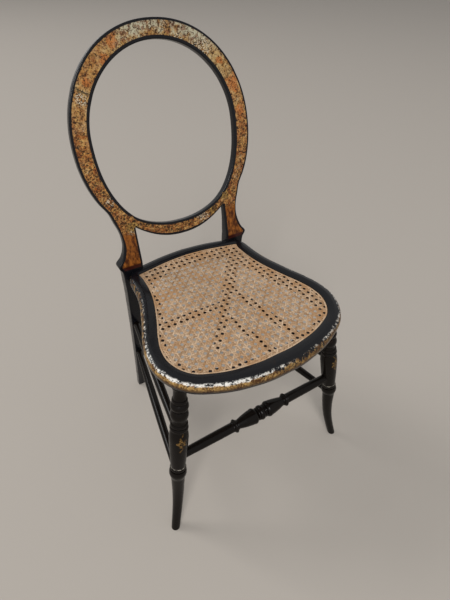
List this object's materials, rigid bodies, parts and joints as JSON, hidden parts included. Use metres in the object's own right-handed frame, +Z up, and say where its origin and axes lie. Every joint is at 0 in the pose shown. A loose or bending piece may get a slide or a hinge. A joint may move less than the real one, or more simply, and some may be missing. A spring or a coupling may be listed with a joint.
{
  "type": "balloon back chair",
  "caption": "Side chair with an open oval hoop back, a caned seat and splayed turned front legs joined by turned stretchers.",
  "frame": {"origin": "centre of the chair's footprint box, on the floor", "axes": "+Z up, +X to the chair's right as seen from the front, +Y towards the back"},
  "size_m": [0.4622, 0.4827, 0.8545],
  "materials": {
    "black_lacquer": "black lacquer on beech, satin gloss, worn",
    "mottled_gilt": "mottled gilt and shimmering ornament under varnish",
    "mottled_gilt_stile": "mottled gilt on the faces, black lacquer on the sides",
    "cane": "natural rattan cane, satin",
    "dowel_wood": "bare beech"
  },
  "bodies": {
    "root": {"crest_rail": "mottled_gilt", "left_stile": "mottled_gilt_stile", "right_stile": "mottled_gilt_stile", "cross_rail": "mottled_gilt", "crest_dowels": "dowel_wood", "cross_rail_dowels": "dowel_wood", "seat_front_rail": "black_lacquer", "seat_left_rail": "black_lacquer", "seat_right_rail": "black_lacquer", "seat_back_rail": "black_lacquer", "side_rail_dowels": "dowel_wood", "corner_dowels": "dowel_wood", "cane_panel": "cane", "cane_binding": "cane", "cane_pegs": "dowel_wood", "front_left_leg": "black_lacquer", "front_right_leg": "black_lacquer", "front_stretcher": "black_lacquer", "left_upper_stretcher": "black_lacquer", "left_lower_stretcher": "black_lacquer", "right_upper_stretcher": "black_lacquer", "right_lower_stretcher": "black_lacquer", "rear_stretcher": "black_lacquer"}
  },
  "joints": []
}
